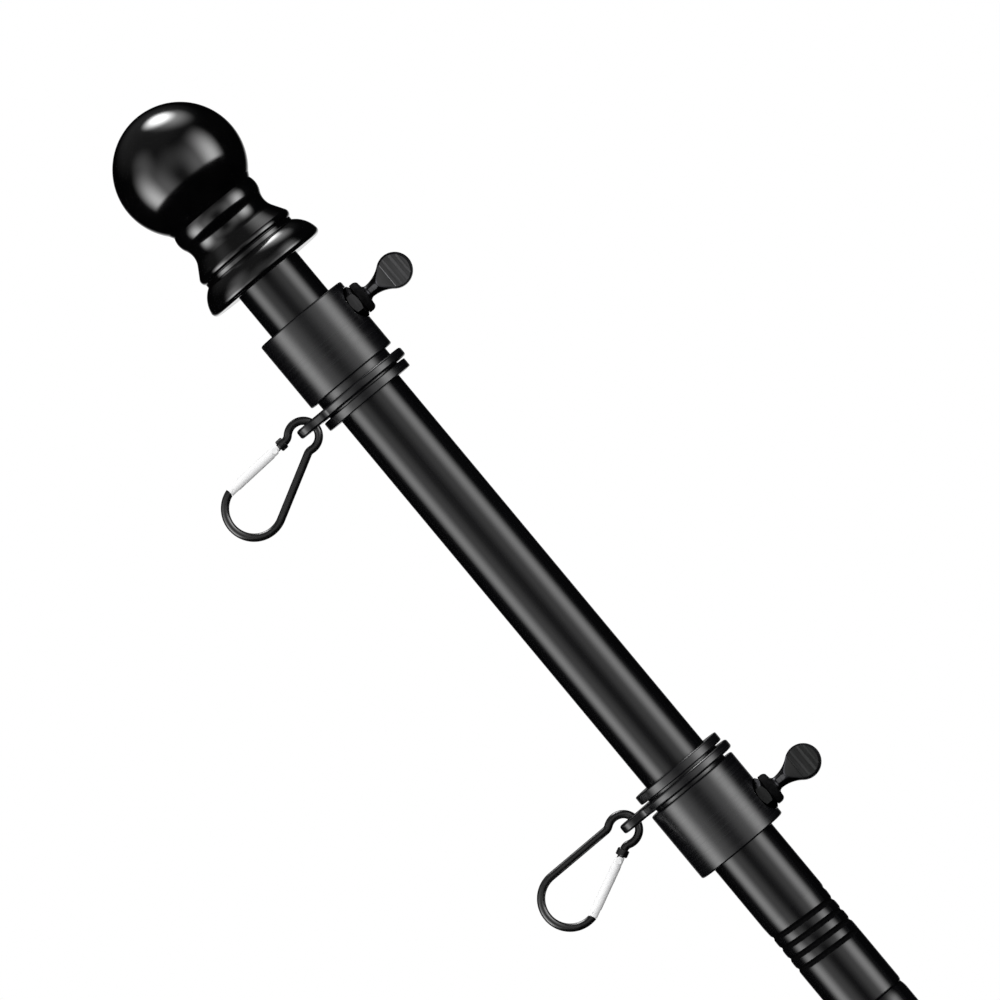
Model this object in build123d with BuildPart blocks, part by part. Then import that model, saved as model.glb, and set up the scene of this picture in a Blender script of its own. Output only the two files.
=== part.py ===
from build123d import *
from math import asin, atan2, cos, hypot, radians, sin, sqrt
import os

os.makedirs("parts", exist_ok=True)

# Every size is in millimetres. The pole stands on +Z with its foot at the origin,
# the thumb screws point along +X and the flag clips hang out along -X.

# Tubes: equal lengths of one inch tube, screwed end to end
tube_radius = 12.7
tube_wall = 1.2
section_length = 375.5
section_count = 4
end_round_depth = 0.5
end_round_length = 1.6
neck_in_depth = 0.6
neck_in_length = 3.4

# Rolled beads that lock each coupling into the lower end of a tube
bead_count = 4
bead_pitch = 4.6
bead_depth = 0.8
bead_radius = 1.05
first_bead_height = 25.0

# Screwed couplings inside the tubes
insert_clearance = 0.1
plug_length = 45.0
stud_radius = 6.0
stud_length = 24.0
socket_length = 32.0
stud_clearance = 0.05

# Foot cap
cap_flange = 2.0
cap_plug_length = 18.0
cap_edge = 0.4

# Ball finial, heights from its lower edge
ball_radius = 23.4
ball_centre_height = 47.2
ball_foot_height = 31.9
crease_radius = 16.75
crease_height = 30.2
bead_one_radius = 17.25
bead_one_height = 27.9
bead_one_low_radius = 16.35
bead_one_low_height = 24.0
waist_radius = 15.7
waist_height = 21.1
cone_top_radius = 16.6
cone_top_height = 17.9
cone_low_radius = 19.0
cone_low_height = 14.0
bead_two_radius = 19.45
bead_two_height = 12.9
groove_radius = 18.6
groove_top_height = 10.9
groove_low_height = 9.7
skirt_middle_radius = 21.7
skirt_middle_height = 6.7
skirt_radius = 23.4
skirt_height = 2.4
skirt_lip = 1.7
socket_depth = 50.2
socket_clearance = 0.1

# Collars that clamp on the pole, measured from the shoulder where the sleeve starts
slide_clearance = 0.15
sleeve_wall = 4.95
sleeve_length = 27.6
sleeve_edge = 0.7
neck_wall = 2.15
flange_width = 2.8
flange_thickness = 3.4
flange_edge = 0.5
flange_clearance = 0.02
screw_height = 18.6

# Spinning ring with its flag eye
ring_width = 4.1
ring_thickness = 3.4
ring_edge = 0.9
ring_clearance = 0.08
eye_overhang = 3.8
eye_radius = 2.4
tab_half_width = 5.5
tab_root_round = 3.0

# Thumb screw and the hex nut that is let into the sleeve
pocket_depth = 2.9
pocket_radius = 6.5
pocket_shift = 3.8
nut_across_corners = 12.0
nut_thickness = 3.9
nut_seat_gap = 0.05
nut_chamfer = 0.5
thread_radius = 2.5
thread_clearance = 0.05
screw_hole_clearance = 0.1
screw_tip_gap = 0.2
shoulder_gap = 0.1
shoulder_radius = 5.9
shoulder_rim = 1.3
shoulder_crown = 1.7
screw_neck_radius = 2.35
paddle_radius = 6.35
paddle_reach = 15.65
paddle_flare = 6.0
paddle_thickness = 3.5
paddle_ramp = 0.8

# Wire clip: a small loop through the eye, a large one for the flag
wire_radius = 1.45
small_loop_radius = 5.35
large_loop_radius = 10.0
loop_spacing = 30.0
spine_offset = 3.7
gate_offset = 3.0
kink_radius = 3.0
nose_angle = 88.0
nose_overrun = 9.0

# Clip gate, its hinge lug and its latch
knuckle_radius = 2.15
knuckle_length = 2.6
knuckle_start = 0.2
knuckle_edge = 0.3
lug_thickness = 1.2
lug_radius = 1.15
pivot_setback = 2.0
gate_radius = 1.7
gate_bore = 1.2
gate_gap = 0.3
gate_tip_gap = 0.25
gate_relief_length = 1.6
gate_relief_depth = 1.2
fork_clearance = 0.12
fork_relief = 0.35
rivet_radius = 0.6
rivet_clearance = 0.05
rivet_head_radius = 1.0
rivet_head = 0.35
rivet_head_gap = 0.03
latch_length = 2.7
latch_half_height = 1.1
latch_pin_radius = 0.45
latch_pin_setback = 1.5
latch_pin_drop = 0.35
latch_clearance = 0.06
latch_fork_depth = 3.2

# Where the two collars sit, below the finial's lower edge. Up is the side of the shoulder
# on which the sleeve lies. The ring turns about the pole, the clip hangs in its eye with
# a little play and tilts towards the sleeve, and the screw's paddle turns about its axis.
collars = {
    "upper": {
        "below_finial": 45.1,
        "up": 1,
        "groove": 6.6,
        "ring_gap": 2.7,
        "ring_turn": 20.0,
        "clip_reach": 4.5,
        "clip_drop": 1.0,
        "clip_tilt": -16.0,
        "screw_turn": 0.0,
    },
    "lower": {
        "below_finial": 227.7,
        "up": -1,
        "groove": 5.3,
        "ring_gap": 1.15,
        "ring_turn": 0.0,
        "clip_reach": 5.0,
        "clip_drop": 0.0,
        "clip_tilt": 12.5,
        "screw_turn": 12.0,
    },
}

# Heights that follow
tube_bore = tube_radius - tube_wall
tube_top = cap_flange + section_count * section_length
finial_foot = tube_top - socket_depth
insert_radius = tube_bore - insert_clearance
bead_centre_radius = tube_radius - bead_depth + bead_radius
bore_radius = tube_radius + slide_clearance
sleeve_radius = bore_radius + sleeve_wall
neck_radius = bore_radius + neck_wall
flange_radius = neck_radius + flange_width
ring_radius = neck_radius + ring_width
eye_distance = ring_radius + eye_overhang
nut_seat = sleeve_radius - pocket_depth + nut_seat_gap
shoulder_seat = nut_seat + nut_thickness + shoulder_gap
slab = 3 * sleeve_radius


def bead_heights(bottom):
    return [bottom + first_bead_height + k * bead_pitch for k in range(bead_count)]


# Finial: one turned profile with a socket for the top tube
def make_finial():
    foot_radius = sqrt(ball_radius**2 - (ball_centre_height - ball_foot_height) ** 2)
    top = ball_centre_height + ball_radius
    bore = tube_radius + socket_clearance
    side = Plane.XZ.shift_origin((0, 0, finial_foot))
    with BuildPart() as finial:
        with BuildSketch(side):
            with BuildLine():
                Line((0, socket_depth), (0, top))
                ThreePointArc((0, top), (ball_radius, ball_centre_height), (foot_radius, ball_foot_height))
                Line((foot_radius, ball_foot_height), (crease_radius, crease_height))
                ThreePointArc(
                    (crease_radius, crease_height),
                    (bead_one_radius, bead_one_height),
                    (bead_one_low_radius, bead_one_low_height),
                )
                ThreePointArc(
                    (bead_one_low_radius, bead_one_low_height),
                    (waist_radius, waist_height),
                    (cone_top_radius, cone_top_height),
                )
                Line((cone_top_radius, cone_top_height), (cone_low_radius, cone_low_height))
                ThreePointArc(
                    (cone_low_radius, cone_low_height),
                    (bead_two_radius, bead_two_height),
                    (groove_radius, groove_top_height),
                )
                Line((groove_radius, groove_top_height), (groove_radius, groove_low_height))
                ThreePointArc(
                    (groove_radius, groove_low_height),
                    (skirt_middle_radius, skirt_middle_height),
                    (skirt_radius, skirt_height),
                )
                ThreePointArc(
                    (skirt_radius, skirt_height),
                    (skirt_radius - 0.45, 0.6),
                    (skirt_radius - skirt_lip, 0),
                )
                Line((skirt_radius - skirt_lip, 0), (bore, 0))
                Line((bore, 0), (bore, socket_depth))
                Line((bore, socket_depth), (0, socket_depth))
            make_face()
        revolve(axis=Axis.Z)
    finial.part.label = "finial"
    export_step(finial.part, "parts/finial.step")


# Tubes: the lower end is rolled on to its coupling, the upper end is drawn in a little
def make_tube(index):
    bottom = cap_flange + index * section_length
    top = bottom + section_length
    coupled = index > 0
    name = f"pole_section_{section_count - index}"
    with BuildPart() as tube:
        with BuildSketch(Plane.XZ):
            with BuildLine():
                wall = Line((tube_radius, bottom + end_round_length), (tube_radius, top - neck_in_length))
                foot = TangentArc(wall @ 0, (tube_radius - end_round_depth, bottom), tangent=(0, -1))
                neck = TangentArc(wall @ 1, (tube_radius - neck_in_depth, top), tangent=(0, 1))
                Polyline(foot @ 1, (tube_bore, bottom), (tube_bore, top), neck @ 1)
            make_face()
        revolve(axis=Axis.Z)
        if coupled:
            for height in bead_heights(bottom):
                with BuildSketch(Plane.XZ):
                    with Locations((bead_centre_radius, height)):
                        Circle(bead_radius + tube_wall)
                    with Locations((tube_radius, height)):
                        Rectangle(slab, slab, align=(Align.MIN, Align.CENTER), mode=Mode.SUBTRACT)
                revolve(axis=Axis.Z)
                with BuildSketch(Plane.XZ):
                    with Locations((bead_centre_radius, height)):
                        Circle(bead_radius)
                revolve(axis=Axis.Z, mode=Mode.SUBTRACT)
    tube.part.label = name
    export_step(tube.part, f"parts/{name}.step")


# Couplings: a grooved plug with a stud, and the threaded socket that takes it
def make_coupling(index):
    seam = cap_flange + index * section_length
    name = f"coupling_{section_count - index}"
    with BuildPart() as plug:
        with BuildSketch(Plane.XY.offset(seam)):
            Circle(insert_radius)
        extrude(amount=plug_length)
        for height in bead_heights(seam):
            with BuildSketch(Plane.XZ):
                with Locations((bead_centre_radius, height)):
                    Circle(bead_radius + tube_wall + insert_clearance)
            revolve(axis=Axis.Z, mode=Mode.SUBTRACT)
        with BuildSketch(Plane.XY.offset(seam)):
            Circle(stud_radius)
        extrude(amount=-stud_length)
    plug.part.label = f"{name}_stud"
    export_step(plug.part, f"parts/{name}_stud.step")

    with BuildPart() as socket:
        with BuildSketch(Plane.XY.offset(seam - insert_clearance)):
            Circle(insert_radius)
            Circle(stud_radius + stud_clearance, mode=Mode.SUBTRACT)
        extrude(amount=-socket_length)
    socket.part.label = f"{name}_socket"
    export_step(socket.part, f"parts/{name}_socket.step")


# Foot cap: closes the butt and is the face that the origin lies on
def make_foot_cap():
    with BuildPart() as cap:
        with BuildSketch(Plane.XY):
            Circle(tube_radius)
        extrude(amount=cap_flange)
        chamfer(cap.edges().group_by(Axis.Z)[0], cap_edge)
        with BuildSketch(Plane.XY.offset(cap_flange)):
            Circle(insert_radius)
        extrude(amount=cap_plug_length)
    cap.part.label = "foot_cap"
    export_step(cap.part, "parts/foot_cap.step")


# Collar: sleeve, neck for the ring, pocket for the nut and hole for the screw
def make_collar(name, side, up, groove):
    screw_line = Plane(side.from_local_coords((0, screw_height, 0)), x_dir=(0, 1, 0), z_dir=(1, 0, 0))
    neck_end = -(groove + flange_thickness)
    with BuildPart() as collar:
        with BuildSketch(side):
            with BuildLine():
                Polyline(
                    (bore_radius, neck_end),
                    (neck_radius, neck_end),
                    (neck_radius, 0),
                    (sleeve_radius, 0),
                    (sleeve_radius, sleeve_length),
                    (bore_radius, sleeve_length),
                    close=True,
                )
            make_face()
        revolve(axis=Axis.Z)
        rims = collar.edges().filter_by(GeomType.CIRCLE).sort_by(lambda e: e.radius)
        fillet(rims[-2:], sleeve_edge)
        with BuildSketch(screw_line.offset(sleeve_radius - pocket_depth)):
            SlotCenterToCenter(2 * pocket_shift, 2 * pocket_radius)
        extrude(amount=sleeve_radius, mode=Mode.SUBTRACT)
        with BuildSketch(screw_line):
            Circle(thread_radius + screw_hole_clearance)
        extrude(amount=slab, mode=Mode.SUBTRACT)
    collar.part.label = f"{name}_collar"
    export_step(collar.part, f"parts/{name}_collar.step")

    with BuildPart() as flange:
        with BuildSketch(side):
            with BuildLine():
                Polyline(
                    (neck_radius + flange_clearance, -groove),
                    (flange_radius, -groove),
                    (flange_radius, neck_end),
                    (neck_radius + flange_clearance, neck_end),
                    close=True,
                )
            make_face()
        revolve(axis=Axis.Z)
        rims = flange.edges().filter_by(GeomType.CIRCLE).sort_by(lambda e: e.radius)
        fillet(rims[-2:], flange_edge)
    flange.part.label = f"{name}_retaining_flange"
    export_step(flange.part, f"parts/{name}_retaining_flange.step")

    with BuildPart() as nut:
        with BuildSketch(screw_line.offset(nut_seat)):
            Circle(nut_across_corners / 2)
        extrude(amount=nut_thickness)
        chamfer(nut.edges().filter_by(GeomType.CIRCLE), nut_chamfer)
        with BuildSketch(screw_line.offset(nut_seat)):
            RegularPolygon(nut_across_corners / 2, 6, rotation=90)
        extrude(amount=nut_thickness, mode=Mode.INTERSECT)
        with BuildSketch(screw_line):
            Circle(thread_radius + thread_clearance)
        extrude(amount=slab, mode=Mode.SUBTRACT)
    nut.part.label = f"{name}_screw_nut"
    export_step(nut.part, f"parts/{name}_screw_nut.step")


# Thumb screw: turned blank with a shoulder, neck and ball, pressed flat at the grip
def make_thumb_screw(name, side, turn):
    centre = side.from_local_coords((0, screw_height, 0))
    profile = Plane(centre, x_dir=(1, 0, 0), z_dir=(0, -1, 0))
    flats = Plane(centre, x_dir=(1, 0, 0), z_dir=(0, sin(radians(turn)), cos(radians(turn))))
    tip = tube_radius + screw_tip_gap
    seat = shoulder_seat
    rim = seat + shoulder_rim
    crown = rim + shoulder_crown
    paddle_distance = seat + paddle_reach
    rise = screw_neck_radius + paddle_flare
    reach = paddle_radius + paddle_flare
    flare_start = paddle_distance - sqrt(reach**2 - rise**2)
    touch = paddle_radius / reach
    touch_x = paddle_distance - (paddle_distance - flare_start) * touch
    touch_r = rise * touch
    bend = atan2(rise - touch_r, touch_x - flare_start) / 2 + radians(45)
    flare_mid = (flare_start + paddle_flare * cos(bend), rise - paddle_flare * sin(bend))
    half = paddle_thickness / 2
    far = paddle_distance + 2 * paddle_radius
    with BuildPart() as screw:
        with BuildSketch(profile):
            with BuildLine():
                Polyline(
                    (tip, 0),
                    (tip, thread_radius - 0.4),
                    (tip + 0.4, thread_radius),
                    (seat, thread_radius),
                    (seat, shoulder_radius),
                    (rim, shoulder_radius),
                )
                RadiusArc((rim, shoulder_radius), (crown, screw_neck_radius), -2.4 * shoulder_crown)
                Line((crown, screw_neck_radius), (flare_start, screw_neck_radius))
                ThreePointArc((flare_start, screw_neck_radius), flare_mid, (touch_x, touch_r))
                ThreePointArc(
                    (touch_x, touch_r),
                    (paddle_distance, paddle_radius),
                    (paddle_distance + paddle_radius, 0),
                )
                Line((paddle_distance + paddle_radius, 0), (tip, 0))
            make_face()
        revolve(axis=Axis(centre, (1, 0, 0)))
        with BuildSketch(flats):
            with BuildLine():
                Polyline(
                    (flare_start, screw_neck_radius),
                    (flare_start + paddle_ramp, half),
                    (far, half),
                    (far, far),
                    (flare_start, far),
                    close=True,
                )
            make_face()
            mirror(about=Plane.XZ)
        extrude(amount=2 * paddle_radius, both=True, mode=Mode.SUBTRACT)
    screw.part.label = f"{name}_thumb_screw"
    export_step(screw.part, f"parts/{name}_thumb_screw.step")


# Ring: flat spinning ring with the eye that the clip hangs in
def make_ring(name, face, middle):
    with BuildPart() as ring:
        with BuildSketch(face.offset(middle - ring_thickness / 2)) as outline:
            Circle(ring_radius)
            with Locations((-eye_distance / 2, 0)):
                Rectangle(eye_distance, 2 * tab_half_width)
            with Locations((-eye_distance, 0)):
                Circle(tab_half_width)
            roots = outline.vertices().filter_by(lambda v: abs(v.Y) > tab_half_width - 1e-3)
            fillet(roots.sort_by(Axis.X)[-2:], tab_root_round)
        extrude(amount=ring_thickness)
        rims = ring.edges().filter_by(Plane.XY)
        fillet(rims, ring_edge)
        with BuildSketch(face.offset(middle - ring_thickness)):
            Circle(neck_radius + ring_clearance)
            with Locations((-eye_distance, 0)):
                Circle(eye_radius)
        extrude(amount=2 * ring_thickness, mode=Mode.SUBTRACT)
    ring.part.label = f"{name}_spin_ring"
    export_step(ring.part, f"parts/{name}_spin_ring.step")


# Clip frame: one bent wire from the gate's hinge round both loops to the nose
def make_clip(name, clip):
    nose = Vector(
        loop_spacing + large_loop_radius * cos(radians(nose_angle)),
        large_loop_radius * sin(radians(nose_angle)),
    )
    gate_angle = atan2(nose.Y, nose.X) - asin(gate_offset / hypot(nose.X, nose.Y))
    spine_angle = asin((large_loop_radius - spine_offset) / loop_spacing)
    along = Vector(cos(gate_angle), sin(gate_angle))
    across = Vector(-sin(gate_angle), cos(gate_angle))

    def kink(offset, angle, sign):
        out = Vector(-sin(angle), sign * cos(angle))
        leg = Vector(cos(angle), sign * sin(angle))
        reach = sqrt((small_loop_radius + kink_radius) ** 2 - (offset + kink_radius) ** 2)
        centre = out * (offset + kink_radius) + leg * reach
        on_loop = centre * (small_loop_radius / (small_loop_radius + kink_radius))
        on_leg = centre - out * kink_radius
        middle = centre + ((on_loop + on_leg) * 0.5 - centre).normalized() * kink_radius
        return on_loop, middle, on_leg

    gate_loop, gate_bend, gate_leg = kink(gate_offset, gate_angle, 1)
    spine_loop, spine_bend, spine_leg = kink(spine_offset, spine_angle, -1)
    spine_end = Vector(loop_spacing, 0) + Vector(-sin(spine_angle), -cos(spine_angle)) * large_loop_radius
    far_end = Vector(loop_spacing + large_loop_radius, 0)
    last = radians(nose_angle + nose_overrun)
    wire_end = Vector(
        loop_spacing + large_loop_radius * cos(last),
        large_loop_radius * sin(last),
    )
    knuckle = gate_leg + along * knuckle_start
    knuckle_face = knuckle + along * knuckle_length
    pivot = knuckle_face + along * pivot_setback
    gate_start = knuckle_face + along * gate_gap
    tip = nose - along * gate_tip_gap
    pin = nose - along * latch_pin_setback - across * latch_pin_drop
    at = clip.from_local_coords

    def crossways(point):
        return Plane(at(point), x_dir=clip.z_dir, z_dir=at(along) - clip.origin)

    with BuildPart() as frame:
        with BuildLine() as path:
            Line(at(knuckle), at(gate_leg))
            ThreePointArc(at(gate_leg), at(gate_bend), at(gate_loop))
            ThreePointArc(at(gate_loop), at((-small_loop_radius, 0)), at(spine_loop))
            ThreePointArc(at(spine_loop), at(spine_bend), at(spine_leg))
            Line(at(spine_leg), at(spine_end))
            ThreePointArc(at(spine_end), at(far_end), at(wire_end))
        with BuildSketch(Plane(path.line @ 0, z_dir=path.line % 0)):
            Circle(wire_radius)
        sweep(path=path.line)
        with BuildSketch(crossways(nose)):
            Rectangle(4 * wire_radius, 4 * wire_radius)
        extrude(amount=-2 * wire_radius, mode=Mode.SUBTRACT)
        with BuildSketch(crossways(knuckle)):
            Circle(knuckle_radius)
        extrude(amount=knuckle_length)
        chamfer(frame.edges().filter_by(GeomType.CIRCLE).filter_by(
            lambda e: abs(e.radius - knuckle_radius) < 1e-3), knuckle_edge)
        with BuildSketch(clip):
            with BuildLine():
                a = knuckle_face - along * knuckle_edge + across * lug_radius
                b = pivot + across * lug_radius
                c = pivot - across * lug_radius
                d = knuckle_face - along * knuckle_edge - across * lug_radius
                Line(a, b)
                ThreePointArc(b, pivot + along * lug_radius, c)
                Line(c, d)
                Line(d, a)
            make_face()
            with Locations(pivot):
                Circle(rivet_radius + rivet_clearance, mode=Mode.SUBTRACT)
        extrude(amount=lug_thickness / 2, both=True)
        with BuildSketch(clip):
            with BuildLine():
                root = nose + along * knuckle_edge
                low = nose - along * latch_length
                notch = latch_pin_radius + latch_clearance
                Polyline(
                    root + across * latch_half_height,
                    low + across * latch_half_height,
                    low - across * latch_half_height,
                    root - across * latch_half_height,
                    close=True,
                )
            make_face()
            with Locations(pin):
                Circle(notch, mode=Mode.SUBTRACT)
            with BuildLine():
                Polyline(
                    pin - along * notch,
                    pin - along * notch - across * latch_half_height,
                    pin + along * notch - across * latch_half_height,
                    pin + along * notch,
                    close=True,
                )
            make_face(mode=Mode.SUBTRACT)
        extrude(amount=lug_thickness / 2, both=True)
    frame.part.label = f"{name}_clip_frame"
    export_step(frame.part, f"parts/{name}_clip_frame.step")

    fork = lug_thickness / 2 + fork_clearance
    gate_length = (tip - gate_start).length
    hinge_fork = (pivot - gate_start).length + lug_radius + fork_relief
    with BuildPart() as gate:
        with BuildSketch(crossways(gate_start)):
            Circle(gate_radius)
            Circle(gate_bore, mode=Mode.SUBTRACT)
        extrude(amount=gate_length)
        with BuildSketch(crossways(gate_start)):
            Rectangle(2 * fork, 4 * gate_radius)
        extrude(amount=hinge_fork, mode=Mode.SUBTRACT)
        with BuildSketch(crossways(tip)):
            Rectangle(2 * fork, 4 * gate_radius)
        extrude(amount=-latch_fork_depth, mode=Mode.SUBTRACT)
        with BuildSketch(clip):
            with BuildLine():
                Polyline(
                    gate_start - across * (gate_radius - gate_relief_depth),
                    gate_start - across * 2 * gate_radius,
                    gate_start - across * 2 * gate_radius + along * gate_relief_length * 2,
                    gate_start - across * gate_radius + along * gate_relief_length,
                    close=True,
                )
            make_face()
        extrude(amount=2 * gate_radius, both=True, mode=Mode.SUBTRACT)
        with BuildSketch(clip):
            with Locations(pivot):
                Circle(rivet_radius + rivet_clearance)
            with Locations(pin):
                Circle(latch_pin_radius)
        extrude(amount=2 * gate_radius, both=True, mode=Mode.SUBTRACT)
    gate.part.label = f"{name}_clip_gate"
    export_step(gate.part, f"parts/{name}_clip_gate.step")

    head_from = gate_radius + rivet_head_gap
    with BuildPart() as rivet:
        with BuildSketch(clip):
            with Locations(pivot):
                Circle(rivet_radius)
        extrude(amount=head_from + rivet_head, both=True)
        for flip in (1, -1):
            with BuildSketch(clip.offset(flip * head_from)):
                with Locations(pivot):
                    Circle(rivet_head_radius)
            extrude(amount=flip * rivet_head)
    rivet.part.label = f"{name}_clip_rivet"
    export_step(rivet.part, f"parts/{name}_clip_rivet.step")

    pin_half = sqrt(gate_radius**2 - (latch_pin_drop + latch_pin_radius) ** 2)
    with BuildPart() as latch:
        with BuildSketch(clip):
            with Locations(pin):
                Circle(latch_pin_radius)
        extrude(amount=pin_half, both=True)
    latch.part.label = f"{name}_clip_latch_pin"
    export_step(latch.part, f"parts/{name}_clip_latch_pin.step")


# The whole pole
make_finial()
make_foot_cap()
for index in range(section_count):
    make_tube(index)
for index in range(1, section_count):
    make_coupling(index)
for name, place in collars.items():
    up = place["up"]
    shoulder = (0, 0, finial_foot - place["below_finial"])
    side = Plane(shoulder, x_dir=(1, 0, 0), z_dir=(0, -up, 0))
    turn = radians(place["ring_turn"])
    face = Plane(shoulder, x_dir=(cos(turn), sin(turn), 0), z_dir=(0, 0, up))
    middle = -(place["ring_gap"] + ring_thickness / 2)
    tilt = radians(place["clip_tilt"])
    eye = face.from_local_coords((-eye_distance, 0, middle))
    clip = Plane(
        eye - Vector(place["clip_reach"], 0, place["clip_drop"]),
        x_dir=(-cos(tilt), 0, up * sin(tilt)),
        z_dir=(0, up, 0),
    )
    make_collar(name, side, up, place["groove"])
    make_thumb_screw(name, side, place["screw_turn"])
    make_ring(name, face, middle)
    make_clip(name, clip)
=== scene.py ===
import bpy
import bmesh
from math import asin, atan2, cos, degrees, hypot, pi, radians, sin, sqrt
from mathutils import Matrix, Vector


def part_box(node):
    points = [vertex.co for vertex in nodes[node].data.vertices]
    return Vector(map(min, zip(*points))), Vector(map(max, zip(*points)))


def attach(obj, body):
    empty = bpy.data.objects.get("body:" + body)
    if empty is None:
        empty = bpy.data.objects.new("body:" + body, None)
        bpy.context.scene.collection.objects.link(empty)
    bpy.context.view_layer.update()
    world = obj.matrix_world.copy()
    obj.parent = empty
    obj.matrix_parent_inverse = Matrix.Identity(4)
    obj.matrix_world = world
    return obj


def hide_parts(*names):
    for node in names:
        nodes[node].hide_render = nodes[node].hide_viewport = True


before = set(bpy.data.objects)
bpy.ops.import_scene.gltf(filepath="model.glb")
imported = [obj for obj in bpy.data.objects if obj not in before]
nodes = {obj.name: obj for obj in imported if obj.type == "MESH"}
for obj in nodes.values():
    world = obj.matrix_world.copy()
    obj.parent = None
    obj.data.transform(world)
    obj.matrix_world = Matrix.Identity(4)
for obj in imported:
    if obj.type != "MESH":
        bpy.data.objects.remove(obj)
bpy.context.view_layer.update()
mm = 0.001     # pieces are drawn in millimetres and scaled once, when they are placed
near = 0.01    # millimetres within which a corner counts as lying on a surface
weld = 0.0005  # millimetres within which two corners are one
snap = 0.0001  # millimetres from a cutting plane within which a corner is left on it
print("frame loaded:", len(nodes), "nodes")


# Colours are written as they look on a screen and turned to the linear values that Blender mixes
def hexColour(code):
    parts = [int(code[i:i + 2], 16) / 255 for i in (1, 3, 5)]
    return [c / 12.92 if c <= 0.04045 else ((c + 0.055) / 1.055) ** 2.4 for c in parts] + [1.0]


# A link's source is a socket, or a node whose first output is meant
def addNode(tree, kind, settings=None, links=None):
    node = tree.nodes.new(kind)
    for name, value in (settings or {}).items():
        if isinstance(name, int) or name in node.inputs:
            node.inputs[name].default_value = value
        else:
            setattr(node, name, value)
    for socket, source in (links or {}).items():
        source = source.outputs[0] if isinstance(source, bpy.types.Node) else source
        tree.links.new(source, node.inputs[socket])
    return node


def startMaterial(name, base):
    material = bpy.data.materials.new(name)
    material.use_nodes = True
    tree = material.node_tree
    tree.nodes.clear()
    shader = addNode(tree, "ShaderNodeBsdfPrincipled", base)
    addNode(tree, "ShaderNodeOutputMaterial", links={"Surface": shader})
    return material, tree, shader


noiseSpan = {"tint": (0.35, 0.65), "polish": (0.3, 0.7)}  # the part of a noise's range in use
noiseRoughness = 0.55


# A finish has a base and up to three patterns: tint goes from the dark to the light colour, polish
# spreads the roughness, and relief is a depth in millimetres and a strength. A pattern's grain is
# the size of its marks in millimetres, along X, Y and Z where they differ. Equal patterns share a
# noise.
def makeFinish(name, finish, dark, light):
    material, tree, shader = startMaterial(name, finish["base"])
    place = addNode(tree, "ShaderNodeTexCoord").outputs["Object"]
    noises = {}
    for use in ("tint", "polish", "relief"):
        pattern = finish.get(use)
        if pattern is None:
            continue
        sizes = pattern["grain"] if isinstance(pattern["grain"], tuple) else (pattern["grain"],) * 3
        key = sizes, pattern["detail"], pattern.get("roughness", noiseRoughness)
        if key not in noises:
            scale = [1 / (size * mm) for size in sizes]
            stretch = addNode(tree, "ShaderNodeMapping", {"Scale": scale}, {"Vector": place})
            noises[key] = addNode(tree, "ShaderNodeTexNoise", {
                "Scale": 1.0, "Detail": key[1], "Roughness": key[2]}, {"Vector": stretch})
        noise = noises[key]
        if use == "tint":
            ramp = addNode(tree, "ShaderNodeValToRGB", links={"Fac": noise})
            stops = ramp.color_ramp.elements
            for stop, where, code in zip(stops, noiseSpan["tint"], (dark, light)):
                stop.position = where
                stop.color = hexColour(code)
            tree.links.new(ramp.outputs["Color"], shader.inputs["Base Color"])
        elif use == "polish":
            low, high = noiseSpan["polish"]
            spread = addNode(tree, "ShaderNodeMapRange", {
                "From Min": low, "From Max": high,
                "To Min": pattern["low"], "To Max": pattern["high"]}, {"Value": noise})
            tree.links.new(spread.outputs["Result"], shader.inputs["Roughness"])
        else:
            bump = addNode(tree, "ShaderNodeBump", {
                "Strength": pattern["strength"], "Distance": pattern["depth"] * mm},
                {"Height": noise})
            tree.links.new(bump.outputs["Normal"], shader.inputs["Normal"])
    return material


# Moulded ABS under clear lacquer: deep black, mirror bright, with a moulding's faint orange peel
lacqueredAbs = {
    "base": {"IOR": 1.6, "Coat Weight": 1.0, "Coat IOR": 1.6, "Coat Roughness": 0.08},
    "tint": {"grain": 11, "detail": 4},
    "polish": {"grain": 5, "detail": 4, "low": 0.1, "high": 0.16},
    "relief": {"grain": 2.4, "detail": 2, "depth": 0.01, "strength": 0.12},
}

# Drawn aluminium tube with a stoved enamel: glossy, with faint streaks along the draw
drawStreaks = {"grain": (1.1, 1.1, 90), "detail": 4}
stovedEnamel = {
    "base": {"IOR": 1.62},
    "tint": drawStreaks,
    "polish": {**drawStreaks, "low": 0.16, "high": 0.2},
    "relief": {"grain": 0.7, "detail": 2, "depth": 0.01, "strength": 0.25},
}

# Black with no gloss left, which reads as a dark line or patch: painted shade in the rolled groove,
# and on the screw's shoulder
paintedShadeBlack = {
    "base": {"IOR": 1.12, "Roughness": 0.6},
    "tint": {"grain": 1, "detail": 2},
}

# Turned aluminium, anodised black: silky, with rings that the lathe tool left, drawn coarser than
# the real ones so that they show
latheRings = {"grain": (70, 70, 0.7), "detail": 3}
anodisedAluminium = {
    "base": {"IOR": 1.77},
    "tint": latheRings,
    "polish": {**latheRings, "low": 0.22, "high": 0.28},
    "relief": {**latheRings, "depth": 0.004, "strength": 0.1},
}

# Turned steel, chemically blackened: near black, with soft highlights along its curves
blackenedSteel = {
    "base": {"Metallic": 1.0},
    "tint": {"grain": 3, "detail": 4},
    "polish": {"grain": 1.2, "detail": 3, "low": 0.26, "high": 0.36},
    "relief": {"grain": 0.8, "detail": 2, "depth": 0.01, "strength": 0.25},
}

# The same steel where the press has flattened it: dull dark grey, thinly blackened, with marks
# across the flat
pressMarks = {"grain": (0.9, 8, 9), "detail": 3, "roughness": 0.6}
pressedSteel = {
    "base": {"Metallic": 0.1},
    "tint": pressMarks,
    "polish": {**pressMarks, "low": 0.42, "high": 0.55},
    "relief": {**pressMarks, "depth": 0.01, "strength": 0.3},
}

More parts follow.
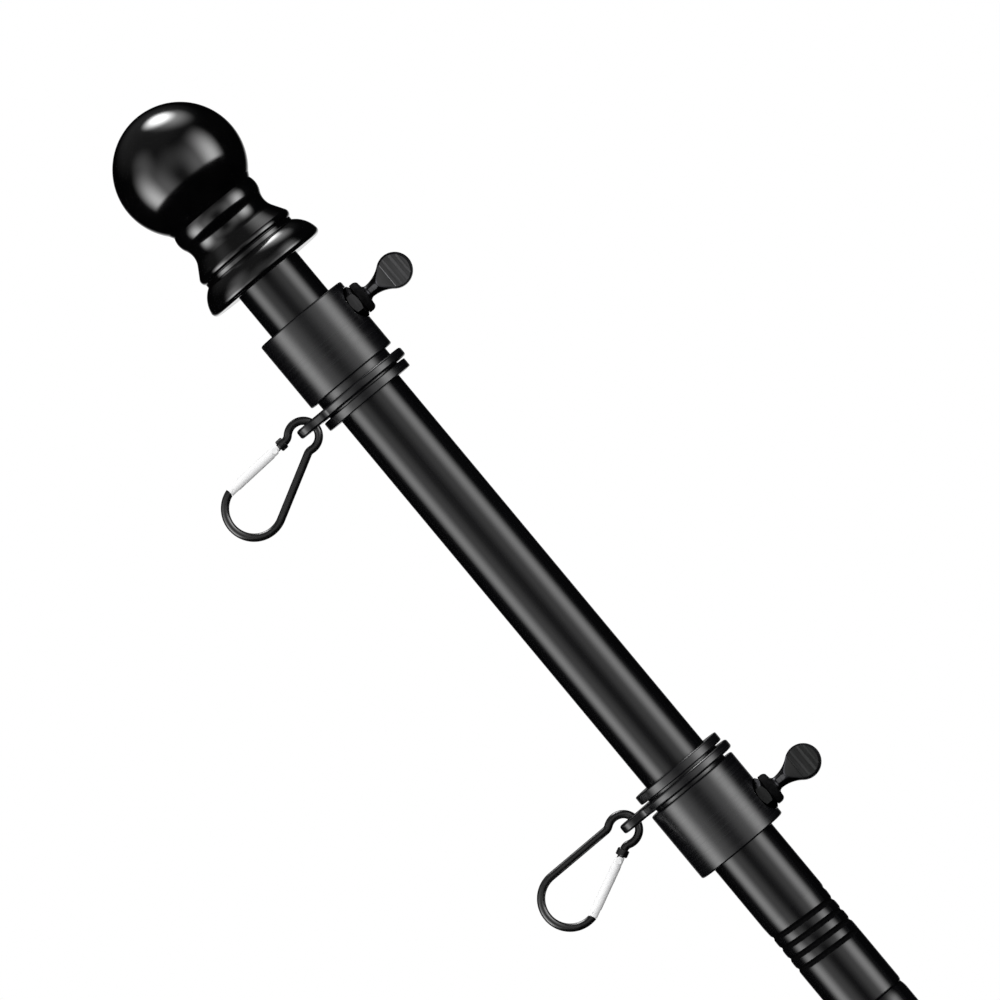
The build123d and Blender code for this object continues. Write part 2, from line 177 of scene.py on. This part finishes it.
# Bent steel wire dipped in black lacquer: smooth and a little uneven where the lacquer has pooled
lacquerPools = {"grain": 2.5, "detail": 3}
lacqueredWire = {
    "base": {"IOR": 1.77, "Coat Weight": 1.0, "Coat IOR": 1.6, "Coat Roughness": 0.2},
    "tint": lacquerPools,
    "polish": {**lacquerPools, "low": 0.26, "high": 0.34},
    "relief": {"grain": 2, "detail": 2, "depth": 0.01, "strength": 0.2},
}

# Satin nickel plate on steel tube: white metal with fine scratches from the polishing belt
beltScratches = {"grain": (9, 1.5, 1.5), "detail": 2}
nickelPlate = {
    "base": {"Metallic": 0.12},
    "tint": beltScratches,
    "polish": {**beltScratches, "low": 0.22, "high": 0.28},
}

# Moulded nylon: dull black with a spark-eroded texture, drawn coarser than the real one
mouldedNylon = {
    "base": {"IOR": 1.53},
    "tint": {"grain": 3, "detail": 3},
    "polish": {"grain": 0.6, "detail": 2, "low": 0.45, "high": 0.6},
    "relief": {"grain": 0.4, "detail": 2, "depth": 0.03, "strength": 0.4},
}

finishes = {
    "finial": makeFinish("lacqueredBlackAbs", lacqueredAbs, "#050506", "#09090a"),
    "tube": makeFinish("stovedBlackEnamel", stovedEnamel, "#08080a", "#0e0e10"),
    # painted shade: the thread's groove is drawn black with no gloss, where shade would fall
    "groove": makeFinish("grooveShadeBlack", paintedShadeBlack, "#050506", "#0a0a0b"),
    "collar": makeFinish("blackAnodisedAluminium", anodisedAluminium, "#0b0b0e", "#121215"),
    "screw": makeFinish("blackenedTurnedSteel", blackenedSteel, "#323234", "#404043"),
    # The paddles' pressed steel in a lit copy for the upper screw and a shaded copy for the lower:
    # its dull grey is the steel's own, the difference between the two is painted light and shade,
    # and the ramps are painted darker still as shaded
    "upperFlats": makeFinish("pressedSteelLitCopy", pressedSteel, "#333334", "#3d3d3e"),
    "lowerFlats": makeFinish("pressedSteelShadedCopy", pressedSteel, "#1d1e1e", "#272828"),
    # painted highlights: the ribs and the crease are lighter copies of the pressed steel, the upper
    # crease brightest
    "upperRibs": makeFinish("pressedSteelRibHighlight", pressedSteel, "#424243", "#4e4e4f"),
    "lowerRibs": makeFinish("pressedSteelFaintRibHighlight", pressedSteel, "#2b2c2c", "#373838"),
    "upperCrease": makeFinish("pressedSteelCreaseHighlight", pressedSteel, "#77777a", "#8c8c8e"),
    "lowerCrease": makeFinish("pressedSteelFaintCreaseHighlight", pressedSteel, "#2b2c2c", "#373838"),
    "upperRamp": makeFinish("pressedSteelRampLit", pressedSteel, "#282829", "#303031"),
    "lowerRamp": makeFinish("pressedSteelShaded", pressedSteel, "#101111", "#191a1a"),
    # painted shade: the screw's shoulder is black with no gloss
    "shoulder": makeFinish("shoulderShadeBlack", paintedShadeBlack, "#0a0a0b", "#121213"),
    # painted highlight on the neck's faces that look front and back
    "neckHighlight": makeFinish("pressedSteelNeckHighlight", pressedSteel, "#48484a", "#5a5a5c"),
    "wire": makeFinish("lacqueredSteelWire", lacqueredWire, "#0a0a0b", "#111112"),
    "gate": makeFinish("satinNickelPlate", nickelPlate, "#f8f8f9", "#fefefe"),
    "insert": makeFinish("mouldedBlackNylon", mouldedNylon, "#131314", "#1b1b1c"),
}
nodeFinish = {  # which finish each CAD node gets, by a part of its name
    "finial": "finial", "pole_section": "tube", "coupling": "insert", "foot_cap": "insert",
    "_collar": "collar", "retaining_flange": "collar", "spin_ring": "collar",
    "screw_nut": "screw", "thumb_screw": "screw", "clip_frame": "wire", "clip_rivet": "gate",
    "clip_gate": "gate", "clip_latch_pin": "gate",
}
for name, item in nodes.items():
    for part, finish in nodeFinish.items():
        if part in name:
            item.data.materials.clear()
            item.data.materials.append(finishes[finish])
print("materials made:", len(finishes))


# Points on an arc of a turned piece's edge, as (radius, height), between two angles in degrees
def arc(centre, radius, first, last, count):
    angles = [radians(first + (last - first) * k / count) for k in range(count + 1)]
    return [(centre[0] + radius * cos(a), centre[1] + radius * sin(a)) for a in angles]


# Points up a straight side, close enough together to take a thread
def rows(radius, first, last, step):
    count = round((last - first) / step)
    return [(radius, first + (last - first) * k / count) for k in range(count + 1)]


# A hollow piece's outline is closed, and a solid one's starts and ends on the axis
def turnPiece(outline, steps, hollow):
    mesh = bmesh.new()
    corners = [mesh.verts.new((radius, 0, height)) for radius, height in outline]
    sides = list(zip(corners, corners[1:])) + ([(corners[-1], corners[0])] if hollow else [])
    edges = [mesh.edges.new(side) for side in sides]
    bmesh.ops.spin(mesh, geom=corners + edges, cent=(0, 0, 0), axis=(0, 0, 1), angle=2 * pi,
                   steps=steps, use_merge=True)
    bmesh.ops.remove_doubles(mesh, verts=mesh.verts, dist=weld)
    bmesh.ops.recalc_face_normals(mesh, faces=mesh.faces)
    return mesh


# How deep a groove with rounded sides is, as a share, at an offset from its middle
def dropOf(offset, half):
    return (1 + cos(pi * offset / half)) / 2 if abs(offset) < half else 0.0


# Edges that turn by more than the crease, in degrees, stay sharp
def placePiece(mesh, name, body, node, coats, crease):
    bmesh.ops.scale(mesh, vec=(mm, mm, mm), verts=mesh.verts)
    for face in mesh.faces:
        face.smooth = True
    for edge in mesh.edges:
        edge.smooth = len(edge.link_faces) == 2 and edge.calc_face_angle(0) < radians(crease)
    data = bpy.data.meshes.new(name)
    mesh.to_mesh(data)
    mesh.free()
    for coat in coats:
        data.materials.append(finishes[coat])
    piece = bpy.data.objects.new(name, data)
    bpy.context.scene.collection.objects.link(piece)
    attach(piece, body)
    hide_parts(node)


# Tube with the rolled thread that grips the coupling: a helical groove, and shallow ridges between
# its turns
rolledTube = {
    "wall": 1.2, "steps": 128, "crease": 40,
    "roundDepth": 0.5, "roundLength": 1.6, "roundRows": 6,  # the lower end, rolled in a little
    "neckDepth": 0.6, "neckLength": 3.4, "neckRows": 8,     # the upper end, drawn in
    "pitch": 4.6, "frontHeight": 37.65,  # where the groove first crosses the front, above the end
    "firstTurn": -0.84, "lastTurn": 3.28, "fade": 0.14,
    "grooveDepth": 0.42, "grooveHalf": 1.15, "ridgeCrown": 0.06,
    "row": 0.17, "spareTurns": 0.5,      # fine rows of faces, also a bit beyond the groove's ends
    "shadeHalf": 1.0, "shadeDepth": 1.1,   # the groove's strip of painted shade, each side of its middle
    "squeeze": ((43.5, 0.0), (38.0, 0.26), (23.0, 0.0)),  # how far in the whole zone is drawn
}


# Distance from the groove's middle, and how fully it is rolled in there
def grooveAt(turn, height):
    t = rolledTube
    wholes = range(int(t["firstTurn"]) - 1, int(t["lastTurn"]) + 2)
    turns = [turn + whole for whole in wholes if t["firstTurn"] <= turn + whole <= t["lastTurn"]]
    if not turns:
        return t["pitch"], 0.0
    below = height - t["frontHeight"]
    offset, along = min((abs(below + t["pitch"] * along), along) for along in turns)
    run = min(along - t["firstTurn"], t["lastTurn"] - along) / t["fade"]
    return offset, dropOf(1 - min(run, 1), 1)


def squeezeAt(height):
    for (high, outer), (low, inner) in zip(rolledTube["squeeze"], rolledTube["squeeze"][1:]):
        if low <= height <= high:
            share = (high - height) / (high - low)
            return outer + (inner - outer) * share
    return 0.0


def buildTube(node):
    t = rolledTube
    low, high = [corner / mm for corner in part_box(node)]
    radius, bottom, top = high.x, low.z, high.z
    threadFoot = bottom + t["frontHeight"] - t["pitch"] * (t["lastTurn"] + t["spareTurns"])
    threadHead = bottom + t["frontHeight"] - t["pitch"] * (t["firstTurn"] - t["spareTurns"])
    outline = [(radius - t["wall"], bottom)]
    for row in range(t["roundRows"] + 1):
        angle = row / t["roundRows"] * pi / 2
        outline.append((radius - t["roundDepth"] * (1 - sin(angle)),
                        bottom + t["roundLength"] * (1 - cos(angle))))
    outline += rows(radius, threadFoot, threadHead, t["row"])
    for row in range(t["neckRows"] + 1):
        along = row / t["neckRows"]
        outline.append((radius - t["neckDepth"] * along ** 2, top - t["neckLength"] * (1 - along)))
    outline.append((radius - t["wall"], top))
    mesh = turnPiece(outline, t["steps"], True)
    for corner in mesh.verts:
        outside = hypot(corner.co.x, corner.co.y) > radius - near
        if outside and threadFoot < corner.co.z < threadHead:
            turn, height = atan2(corner.co.x, -corner.co.y) / (2 * pi), corner.co.z - bottom
            offset, full = grooveAt(turn, height)
            drop = full * (t["grooveDepth"] * dropOf(offset, t["grooveHalf"])
                           + t["ridgeCrown"] * dropOf(offset, t["pitch"] / 2)) + squeezeAt(height)
            corner.co.x *= 1 - drop / radius
            corner.co.y *= 1 - drop / radius
    # faces in the middle of the groove take the black with no gloss: painted shade in the recess
    for face in mesh.faces:
        middle = face.calc_center_median()
        if hypot(middle.x, middle.y) > radius - t["shadeDepth"]:
            offset, full = grooveAt(atan2(middle.x, -middle.y) / (2 * pi), middle.z - bottom)
            face.material_index = 1 if offset < t["shadeHalf"] * full else 0
    placePiece(mesh, node + "_rolled", "pole", node, ["tube", "groove"], t["crease"])


for index in (1, 2, 3):
    buildTube(f"pole_section_{index}")
print("rolled tubes made")


# Thumb screw: turned blank with a shoulder and a neck, its ball end pressed flat and ribbed
thumbScrew = {
    "steps": 72, "crease": 28,
    "thread": 2.5, "threadPitch": 0.8, "threadDepth": 0.42, "threadRow": 0.1, "tipChamfer": 0.4,
    "shoulder": 5.9, "shoulderLength": 1.25, "shoulderChamfer": 0.25,
    "domeRadius": 2.0, "domeSweep": 58,  # the shoulder's far edge
    "domeHeight": 1.728, "domeRows": 8,
    "neck": 2.35, "neckFillet": 1.5, "filletSweep": (240, 180), "filletRows": 6,
    "flare": 12.0, "flareRows": 14,  # radius of the hollow curve between the neck and the ball
    "ball": 6.35, "ballReach": 15.65, "ballRows": 26,
    "half": 1.75, "bendFromBall": 3.4, "apexFromBall": 7.9,  # the flats and their ramps to the neck
    "pressedFrom": 1.0,                # how far before the ramps' end the press begins to cut
    "flatMerge": 0.6,                  # faces that turn by less, in degrees, become one
    "flatArea": 6, "flatFacing": 0.9,  # a pressed face is larger, and looks further sideways
    "rim": 0.45, "rimDepth": 0.16, "rimShift": 0.45,
    # each rib's coat is a lighter copy of the pressed steel: painted highlights on the ribs and the
    # crease
    "ribs": ((-3.15, 0.3, "Crease"), (-1.2, 0.8, "Ribs"), (1.6, 1.0, "Ribs"), (3.7, 0.7, "Ribs")),
    "ribHeight": 0.15, "ribEndGap": 0.15, "ribBevel": 0.1, "ribSegments": 3,
    "coats": ("screw", "Flats", "Ribs", "Crease", "Ramp", "shoulder", "neckHighlight"),
    "shadeTrim": 0.4,  # how far short of the dome's end the shoulder's painted shade stops
    "highlightLength": 3.4, "highlightTrim": 0.2, "highlightFacing": 0.93,  # the neck's strip of painted highlight, on faces that look front and back
}
screwTurn = {"upper": 0.0, "lower": 12.0}  # degrees that each paddle is turned about its screw


# The flare is an arc that is tangent to the neck and to the ball. How far its centre is from the
# axis, and along the axis from the ball's middle
def flareCentre():
    s = thumbScrew
    rise = s["neck"] + s["flare"]
    return rise, sqrt((s["ball"] + s["flare"]) ** 2 - rise ** 2)


def buildScrew(side):
    s = thumbScrew
    coatOf = s["coats"].index
    low, high = [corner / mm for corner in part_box(side + "_thumb_screw")]
    nutLow, nutHigh = [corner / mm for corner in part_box(side + "_screw_nut")]
    height = (nutLow.z + nutHigh.z) / 2
    ballAt = high.x - s["ball"]
    seat = nutHigh.x + near
    domeFoot = ballAt - s["ballReach"] + s["shoulderLength"]
    domeEnd = domeFoot + s["domeHeight"]
    tip = low.x + s["tipChamfer"]
    outline = [(0, low.x), (s["thread"] - s["tipChamfer"], low.x), (s["thread"], tip)]
    outline += rows(s["thread"], tip + s["threadRow"], seat - 2 * near, s["threadRow"])
    outline += [(s["thread"], seat), (s["shoulder"] - s["shoulderChamfer"], seat),
                (s["shoulder"], seat + s["shoulderChamfer"])]
    outline += arc((s["shoulder"] - s["domeRadius"], domeFoot), s["domeRadius"], 0, s["domeSweep"],
                   s["domeRows"])
    outline += arc((s["neck"] + s["neckFillet"], domeEnd + s["neckFillet"]), s["neckFillet"],
                   *s["filletSweep"], s["filletRows"])
    rise, run = flareCentre()
    lean = degrees(asin(run / (s["ball"] + s["flare"])))
    outline += arc((rise, ballAt - run), s["flare"], 180, 180 - lean, s["flareRows"])
    outline += arc((0, ballAt), s["ball"], -lean, 90, s["ballRows"])[1:-1]
    outline.append((0, ballAt + s["ball"]))
    mesh = turnPiece(outline, s["steps"], False)
    for corner in mesh.verts:
        radius = hypot(corner.co.x, corner.co.y)
        if abs(radius - s["thread"]) < near and tip + near < corner.co.z < seat - near:
            turn = atan2(corner.co.y, corner.co.x) / (2 * pi)
            phase = (corner.co.z / s["threadPitch"] - turn) % 1
            keep = 1 - s["threadDepth"] * abs(2 * phase - 1) / radius
            corner.co.x *= keep
            corner.co.y *= keep
    pressFlat(mesh, ballAt)
    addRibs(mesh, ballAt)
    apex = ballAt - s["apexFromBall"]
    for face in mesh.faces:
        middle = face.calc_center_median()
        # the shoulder takes painted shade
        if seat - near < middle.z < domeEnd - s["shadeTrim"]:
            face.material_index = coatOf("shoulder")
        # the neck's faces that look front and back take a painted highlight
        elif (apex - s["highlightLength"] < middle.z < apex - s["highlightTrim"]
              and abs(face.normal.y) > s["highlightFacing"]):
            face.material_index = coatOf("neckHighlight")
    turnAway = Matrix.Rotation(radians(-screwTurn[side]), 4, "X") @ Matrix.Rotation(pi / 2, 4, "Y")
    lift = Matrix.Translation((0, 0, height))
    bmesh.ops.transform(mesh, matrix=lift @ turnAway, verts=mesh.verts)
    coats = [coat if coat in finishes else side + coat for coat in s["coats"]]
    placePiece(mesh, side + "_thumb_screw_ribbed", side + "_thumb_screw", side + "_thumb_screw",
               coats, s["crease"])


# The press leaves a flat disc and a ramp up to the neck, on both sides
def pressFlat(mesh, ballAt):
    s = thumbScrew
    coatOf = s["coats"].index
    bend, apex = ballAt - s["bendFromBall"], ballAt - s["apexFromBall"]
    rise, run = flareCentre()
    apexRadius = rise - sqrt(s["flare"] ** 2 - (apex - (ballAt - run)) ** 2)
    slope = (apexRadius - s["half"]) / (bend - apex)
    foot = apex - s["pressedFrom"]
    for across, tilt in ((0, 1), (1, 0), (1, slope), (-1, 0), (-1, slope)):
        faces = [face for face in mesh.faces if face.calc_center_median().z > foot]
        geom = dict.fromkeys(part for face in faces for part in (face, *face.edges, *face.verts))
        bmesh.ops.bisect_plane(mesh, geom=list(geom), dist=snap,
                               plane_co=(0, across * s["half"], bend), plane_no=(0, across, tilt))
    for corner in mesh.verts:
        if corner.co.z > apex - near:
            limit = s["half"] + max(0.0, slope * (bend - corner.co.z))
            corner.co.y = max(-limit, min(limit, corner.co.y))
    mesh.normal_update()
    bmesh.ops.dissolve_limit(mesh, angle_limit=radians(s["flatMerge"]), verts=mesh.verts,
                             edges=mesh.edges)
    flats = [face for face in mesh.faces if abs(face.normal.y) > s["flatFacing"]
             and face.calc_area() > s["flatArea"] and face.calc_center_median().z > apex]
    for way in (1, -1):
        faces = [face for face in flats if face.normal.y * way > 0]
        bmesh.ops.inset_region(mesh, faces=faces, thickness=s["rim"], depth=-s["rimDepth"],
                               use_even_offset=True, use_boundary=True)
        # flats and ramps take their side's lit or shaded copy of the pressed steel: painted light
        # and shade
        for face in faces:
            face.material_index = coatOf("Flats" if face.calc_center_median().z > bend else "Ramp")
        # the press sits nearer the neck, so the rim is broader at the tip
        for corner in {corner for face in faces for corner in face.verts}:
            corner.co.z -= s["rimShift"] * max(0.0, corner.co.z - ballAt) / s["ball"]


# Bars across the flats, each as long as the disc is wide at its place
def addRibs(mesh, ballAt):
    s = thumbScrew
    inside = sqrt(s["ball"] ** 2 - s["half"] ** 2) - s["rim"] - s["ribEndGap"]
    for place, width, coat in s["ribs"]:
        length = 2 * sqrt(inside ** 2 - place ** 2)
        for way in (1, -1):
            bar = bmesh.ops.create_cube(mesh, size=1)["verts"]
            bmesh.ops.scale(mesh, vec=(length, 2 * s["ribHeight"], width), verts=bar)
            bmesh.ops.translate(mesh, verts=bar,
                                vec=(0, way * (s["half"] - s["rimDepth"]), ballAt + place))
            # each bar takes its lighter rib or crease copy of the steel: a painted highlight
            for face in {face for corner in bar for face in corner.link_faces}:
                face.material_index = s["coats"].index(coat)
            edges = list(dict.fromkeys(edge for corner in bar for edge in corner.link_edges))
            bmesh.ops.bevel(mesh, geom=edges, offset=s["ribBevel"], segments=s["ribSegments"],
                            profile=0.5, affect="EDGES", material=-1)


# Hex nut: turned blank, chamfered at both ends and then cut by six flats, which end in arcs
hexNut = {
    "bore": 2.56, "boreChamfer": 0.3, "corner": 6.4, "faceRadius": 5.3, "chamfer": 0.8,
    "steps": 96, "crease": 28, "flatFacing": 0.95,
}


def buildNut(side):
    n = hexNut
    low, high = [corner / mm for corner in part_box(side + "_screw_nut")]
    height = (low.z + high.z) / 2
    mouth = n["bore"] + n["boreChamfer"]
    outline = [(mouth, low.x), (n["faceRadius"], low.x), (n["corner"], low.x + n["chamfer"]),
               (n["corner"], high.x - n["chamfer"]), (n["faceRadius"], high.x), (mouth, high.x),
               (n["bore"], high.x - n["boreChamfer"]), (n["bore"], low.x + n["boreChamfer"])]
    mesh = turnPiece(outline, n["steps"], True)
    across = n["corner"] * cos(pi / 6)
    for flat in range(6):
        away = Vector((sin(flat * pi / 3), cos(flat * pi / 3), 0))
        geom = list(mesh.verts) + list(mesh.edges) + list(mesh.faces)
        made = bmesh.ops.bisect_plane(mesh, geom=geom, dist=snap, plane_co=away * across,
                                      plane_no=away, clear_outer=True)
        rim = [item for item in made["geom_cut"] if isinstance(item, bmesh.types.BMEdge)]
        bmesh.ops.contextual_create(mesh, geom=rim)
    bmesh.ops.recalc_face_normals(mesh, faces=mesh.faces)
    # the facets that look front and back take the paddle's lit or shaded flat steel: painted light
    # on the nut
    for face in mesh.faces:
        face.material_index = 1 if abs(face.normal.y) > n["flatFacing"] else 0
    lift = Matrix.Translation((0, 0, height))
    bmesh.ops.transform(mesh, matrix=lift @ Matrix.Rotation(pi / 2, 4, "Y"), verts=mesh.verts)
    placePiece(mesh, side + "_nut_chamfered", side + "_collar", side + "_screw_nut",
               ["screw", side + "Flats"], n["crease"])


for side in ("upper", "lower"):
    buildScrew(side)
    buildNut(side)
print("thumb screws and nuts made")


view = {
    "scale": 0.00034403,  # metres of pole to one pixel of a picture that is 1000 pixels wide
    "pixels": 1000,
    "centre": (0.01193, 0, 1.34334),
    "right": (0.7689, 0, -0.6393),  # the picture's own directions: the pole leans across it
    "up": (0.6393, 0, 0.7689),
    "lens": 400, "sensor": 36, "clipEnd": 40,
}
floorBoard = {"half": 2.4, "colour": "#e6e6e6", "roughness": 0.8}
# Matt surfaces see a soft light that leans to one side, gloss sees softboxes between black cards,
# and the camera sees white
room = {
    "ambient": 0.66,   # what matt surfaces get from the walls of the white room
    "lean": 1.0,       # how much more of it comes from the key side than from the middle
    "key": (-0.55, -0.6, 0.58),
    "cards": 0.001,    # level of the black cards round the pole, which its gloss shows at the edges
    "ceiling": {"level": 0.06, "from": 0.4, "full": 1.0},  # radians above level
    "foot": (-23, -17),  # degrees above level, between which the softboxes' light starts
}
# By degrees round the pole from the camera, brightest in the middle, level 1 being white; each head
# is where the light fades, in degrees above level
softboxes = {
    "left": {"azimuth": -68, "half": 28, "level": 3.8, "head": (-14, 40)},
    "right": {"azimuth": 62, "half": 28, "level": 3.6, "head": (-14, 42)},
    "leftFill": {"azimuth": -38, "half": 33, "level": 0.8, "head": (-14, 50)},
    "rightFill": {"azimuth": 32, "half": 33, "level": 0.8, "head": (-14, 45)},
    "front": {"azimuth": -4, "half": 34, "level": 0.06, "head": (-14, 50)},
}
# By direction, brightest in the middle, half being the angle at which the light ends
roundLamps = {
    "spot": {"towards": (0.26, 0.25, 0.92), "half": 21, "level": 10.0},
    "halo": {"towards": (0.45, 0.13, 0.88), "half": 30, "level": 1.7},
    "leftHalo": {"towards": (-0.66, -0.42, 0.62), "half": 30, "level": 0.45},
    "frontHalo": {"towards": (-0.03, -0.93, 0.36), "half": 32, "level": 0.2},
    "back": {"towards": (0.0, 0.97, -0.22), "half": 27, "level": 1.1},  # for views from behind
}


def buildWorld():
    world = bpy.data.worlds.new("studioAir")
    bpy.context.scene.world = world
    world.use_nodes = True
    tree = world.node_tree
    tree.nodes.clear()
    fade = {"interpolation_type": "SMOOTHSTEP"}
    towards = addNode(tree, "ShaderNodeTexCoord").outputs["Generated"]
    split = addNode(tree, "ShaderNodeSeparateXYZ", links={"Vector": towards}).outputs
    front = addNode(tree, "ShaderNodeMath", {"operation": "MULTIPLY", 1: -1.0}, {0: split["Y"]})
    azimuth = addNode(tree, "ShaderNodeMath", {"operation": "ARCTAN2"}, {0: split["X"], 1: front})
    rise = addNode(tree, "ShaderNodeMath", {"operation": "ARCSINE"}, {0: split["Z"]})
    foot, footEnd = [radians(angle) for angle in room["foot"]]
    above = addNode(tree, "ShaderNodeMapRange", {**fade, "From Min": foot, "From Max": footEnd},
                    {"Value": rise})
    lights = []
    for box in softboxes.values():
        off = addNode(tree, "ShaderNodeMath", {"operation": "SUBTRACT", 1: radians(box["azimuth"])},
                      {0: azimuth})
        off = addNode(tree, "ShaderNodeMath", {"operation": "ABSOLUTE"}, {0: off})
        across = addNode(tree, "ShaderNodeMapRange", {
            **fade, "From Max": radians(box["half"]), "To Min": box["level"], "To Max": 0.0},
            {"Value": off})
        head, headEnd = [radians(angle) for angle in box["head"]]
        upwards = addNode(tree, "ShaderNodeMapRange", {
            **fade, "From Min": head, "From Max": headEnd, "To Min": 1.0, "To Max": 0.0},
            {"Value": rise})
        lit = addNode(tree, "ShaderNodeMath", {"operation": "MULTIPLY"}, {0: across, 1: upwards})
        lit = addNode(tree, "ShaderNodeMath", {"operation": "MULTIPLY"}, {0: lit, 1: above})
        lights.append(lit)
    for lamp in roundLamps.values():
        aim = addNode(tree, "ShaderNodeVectorMath", {
            "operation": "DOT_PRODUCT", 1: Vector(lamp["towards"]).normalized()}, {0: towards})
        off = addNode(tree, "ShaderNodeMath", {"operation": "ARCCOSINE"}, {0: aim.outputs["Value"]})
        lights.append(addNode(tree, "ShaderNodeMapRange", {
            **fade, "From Max": radians(lamp["half"]), "To Min": lamp["level"], "To Max": 0.0},
            {"Value": off}))
    ceiling = room["ceiling"]
    lights.append(addNode(tree, "ShaderNodeMapRange", {
        **fade, "From Min": ceiling["from"], "From Max": ceiling["full"],
        "To Max": ceiling["level"]}, {"Value": rise}))
    gloss = lights[0]
    for light in lights[1:]:
        gloss = addNode(tree, "ShaderNodeMath", {"operation": "ADD"}, {0: gloss, 1: light})
    gloss = addNode(tree, "ShaderNodeMath", {"operation": "ADD", 1: room["cards"]}, {0: gloss})
    facing = addNode(tree, "ShaderNodeVectorMath", {
        "operation": "DOT_PRODUCT", 1: Vector(room["key"]).normalized()}, {0: towards})
    matt = addNode(tree, "ShaderNodeMath", {"operation": "MULTIPLY", 1: room["lean"]},
                   {0: facing.outputs["Value"]})
    matt = addNode(tree, "ShaderNodeMath", {"operation": "ADD", 1: room["ambient"]}, {0: matt})
    matt = addNode(tree, "ShaderNodeMath", {"operation": "MAXIMUM", 1: 0.0}, {0: matt})
    ray = addNode(tree, "ShaderNodeLightPath").outputs
    light = addNode(tree, "ShaderNodeMix", {"data_type": "FLOAT"},
                    {0: ray["Is Diffuse Ray"], 2: gloss, 3: matt})
    seen = addNode(tree, "ShaderNodeMath", {"operation": "MAXIMUM"},
                   {0: ray["Is Camera Ray"], 1: ray["Is Transmission Ray"]})
    level = addNode(tree, "ShaderNodeMix", {"data_type": "FLOAT", 3: 1.0}, {0: seen, 2: light})
    air = addNode(tree, "ShaderNodeBackground", {"Color": (1, 1, 1, 1)}, {"Strength": level})
    addNode(tree, "ShaderNodeOutputWorld", links={"Surface": air})


def buildCamera():
    scene = bpy.context.scene
    scene.view_settings.view_transform = "Standard"
    camera = bpy.data.objects.new("camera", bpy.data.cameras.new("camera"))
    scene.collection.objects.link(camera)
    camera.data.lens = view["lens"]
    camera.data.sensor_width = view["sensor"]
    camera.data.clip_end = view["clipEnd"]
    right, up = Vector(view["right"]), Vector(view["up"])
    back = right.cross(up)
    distance = view["pixels"] * view["scale"] * view["lens"] / view["sensor"]
    turn = Matrix((right, up, back)).transposed().to_4x4()
    camera.matrix_world = Matrix.Translation(Vector(view["centre"]) + back * distance) @ turn
    scene.camera = camera


def buildFloor():
    ground = bmesh.new()
    bmesh.ops.create_grid(ground, x_segments=1, y_segments=1, size=floorBoard["half"])
    data = bpy.data.meshes.new("floor")
    ground.to_mesh(data)
    ground.free()
    floor = bpy.data.objects.new("floor", data)
    bpy.context.scene.collection.objects.link(floor)
    material, tree, shader = startMaterial("paleFloor", {
        "Base Color": hexColour(floorBoard["colour"]), "Roughness": floorBoard["roughness"]})
    # a black card lies on it for all but the camera, so that it throws no light up at the pieces
    ray = addNode(tree, "ShaderNodeLightPath").outputs
    card = addNode(tree, "ShaderNodeBsdfDiffuse", {"Color": (0, 0, 0, 1)})
    indirect = addNode(tree, "ShaderNodeMath", {"operation": "MAXIMUM"},
                       {0: ray["Is Glossy Ray"], 1: ray["Is Diffuse Ray"]})
    cover = addNode(tree, "ShaderNodeMixShader", links={0: indirect, 1: shader, 2: card})
    tree.links.new(cover.outputs["Shader"], tree.nodes["Material Output"].inputs["Surface"])
    data.materials.append(material)


buildWorld()
buildCamera()
buildFloor()
print("studio built")
